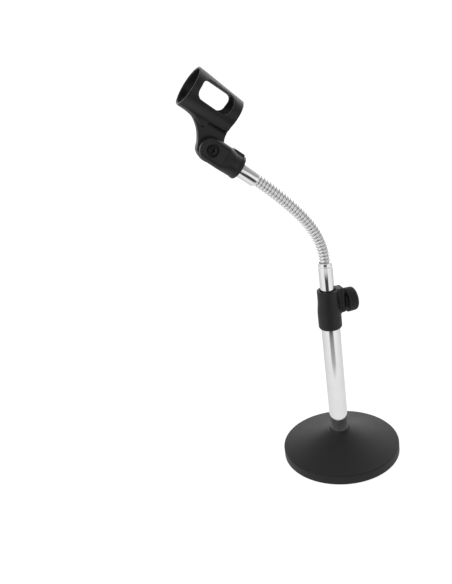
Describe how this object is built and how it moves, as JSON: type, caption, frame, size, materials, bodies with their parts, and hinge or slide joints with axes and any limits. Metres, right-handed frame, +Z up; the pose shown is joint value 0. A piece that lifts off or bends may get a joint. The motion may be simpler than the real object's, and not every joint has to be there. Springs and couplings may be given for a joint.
{
  "type": "desktop microphone stand",
  "caption": "Desktop microphone stand: round weighted base, telescoping chromed column with thumb-screw clamp, bendable gooseneck and tilting microphone holder.",
  "frame": {"origin": "centre of the flat face the base rests on", "axes": "+Z up along the column; the gooseneck bends toward -X in the XZ plane at rest; +X along the clamp screw toward its knob; +Y along the cross direction, parallel to the holder pivot"},
  "size_m": [0.1927, 0.1299, 0.4404],
  "materials": {
    "base_coat": "black satin powder coat over a casting",
    "foot_rubber": "matt rubber",
    "zinc_steel": "zinc plated",
    "chrome": "polished chrome plate",
    "neck_chrome": "chrome plated spring wire",
    "clamp_plastic": "moulded black nylon, fine grain",
    "knob_plastic": "moulded black, fine flutes",
    "nylon": "natural nylon",
    "holder_plastic": "satin black moulded plastic",
    "black_steel": "black oxide",
    "fibre_washer": "dark fibre",
    "brass": "turned brass"
  },
  "bodies": {
    "stand": {"base_plate": "base_coat", "foot_ring": "foot_rubber", "base_washer": "zinc_steel", "base_bolt": "zinc_steel", "tube_plug": "zinc_steel", "lower_tube": "chrome", "upper_guide": "nylon", "clamp_body": "clamp_plastic", "clamp_nut": "zinc_steel"},
    "slider": {"guide_bush": "nylon"},
    "column": {"inner_tube": "chrome", "gooseneck_lower_end": "neck_chrome"},
    "neck_1": {"gooseneck_link_1": "neck_chrome"},
    "neck_2": {"gooseneck_link_2": "neck_chrome"},
    "neck_3": {"gooseneck_link_3": "neck_chrome"},
    "neck_4": {"gooseneck_link_4": "neck_chrome"},
    "neck_5": {"gooseneck_link_5": "neck_chrome"},
    "neck_6": {"gooseneck_link_6": "neck_chrome"},
    "neck_7": {"gooseneck_link_7": "neck_chrome"},
    "neck_top": {"gooseneck_upper_end": "neck_chrome", "upper_ferrule": "chrome"},
    "swivel": {"swivel_base": "holder_plastic", "thread_insert": "brass", "pivot_screw": "black_steel", "pivot_nut": "zinc_steel", "friction_washers": "fibre_washer"},
    "holder": {"clip_holder": "holder_plastic"},
    "screw_tip": {"pressure_pad": "nylon"},
    "knob": {"clamp_knob": "knob_plastic", "clamp_screw": "zinc_steel"}
  },
  "joints": [
    {"name": "height_slide", "type": "slide", "parent": "stand", "child": "slider", "axis": [0, 0, 1], "range_m": [-0.029, 0.056]},
    {"name": "tube_turn", "type": "hinge", "parent": "slider", "child": "column", "pos_m": [0, 0, 0], "axis": [0, 0, 1], "continuous": true},
    {"name": "screw_travel", "type": "slide", "parent": "stand", "child": "screw_tip", "axis": [1, 0, 0], "range_m": [0, 0.003]},
    {"name": "knob_turn", "type": "hinge", "parent": "screw_tip", "child": "knob", "pos_m": [0.0245, 0, 0.1834], "axis": [1, 0, 0], "range_deg": [-0.5, 1080.5]},
    {"name": "gooseneck_bend_1", "type": "hinge", "parent": "column", "child": "neck_1", "pos_m": [0, 0, 0.23845], "axis": [0, -1, 0], "range_deg": [-21.5, 3.5]},
    {"name": "gooseneck_bend_2", "type": "hinge", "parent": "neck_1", "child": "neck_2", "pos_m": [-0.00313, 0, 0.25332], "axis": [0, -1, 0], "range_deg": [-21.5, 3.5]},
    {"name": "gooseneck_bend_3", "type": "hinge", "parent": "neck_2", "child": "neck_3", "pos_m": [-0.00903, 0, 0.26734], "axis": [0, -1, 0], "range_deg": [-21.5, 3.5]},
    {"name": "gooseneck_bend_4", "type": "hinge", "parent": "neck_3", "child": "neck_4", "pos_m": [-0.01701, 0, 0.28027], "axis": [0, -1, 0], "range_deg": [-21.5, 3.5]},
    {"name": "gooseneck_bend_5", "type": "hinge", "parent": "neck_4", "child": "neck_5", "pos_m": [-0.02633, 0, 0.29228], "axis": [0, -1, 0], "range_deg": [-15, 10]},
    {"name": "gooseneck_bend_6", "type": "hinge", "parent": "neck_5", "child": "neck_6", "pos_m": [-0.03636, 0, 0.3037], "axis": [0, -1, 0], "range_deg": [-15, 10]},
    {"name": "gooseneck_bend_7", "type": "hinge", "parent": "neck_6", "child": "neck_7", "pos_m": [-0.0468, 0, 0.31474], "axis": [0, -1, 0], "range_deg": [-15, 10]},
    {"name": "gooseneck_bend_8", "type": "hinge", "parent": "neck_7", "child": "neck_top", "pos_m": [-0.05761, 0, 0.32543], "axis": [0, -1, 0], "range_deg": [-15, 10]},
    {"name": "holder_turn", "type": "hinge", "parent": "neck_top", "child": "swivel", "pos_m": [-0.08183, 0, 0.34725], "axis": [-0.7431, 0, 0.6691], "range_deg": [-180, 180]},
    {"name": "holder_tilt", "type": "hinge", "parent": "swivel", "child": "holder", "pos_m": [-0.10339, 0, 0.36665], "axis": [0, -1, 0], "range_deg": [-27, 147]}
  ],
  "couplings": [
    {"joint": "knob_turn", "follows": "screw_travel", "rad_per_m": 6283.2},
    {"joint": "gooseneck_bend_2", "follows": "gooseneck_bend_1", "ratio": 1},
    {"joint": "gooseneck_bend_3", "follows": "gooseneck_bend_1", "ratio": 1},
    {"joint": "gooseneck_bend_4", "follows": "gooseneck_bend_1", "ratio": 1},
    {"joint": "gooseneck_bend_6", "follows": "gooseneck_bend_5", "ratio": 1},
    {"joint": "gooseneck_bend_7", "follows": "gooseneck_bend_5", "ratio": 1},
    {"joint": "gooseneck_bend_8", "follows": "gooseneck_bend_5", "ratio": 1}
  ]
}
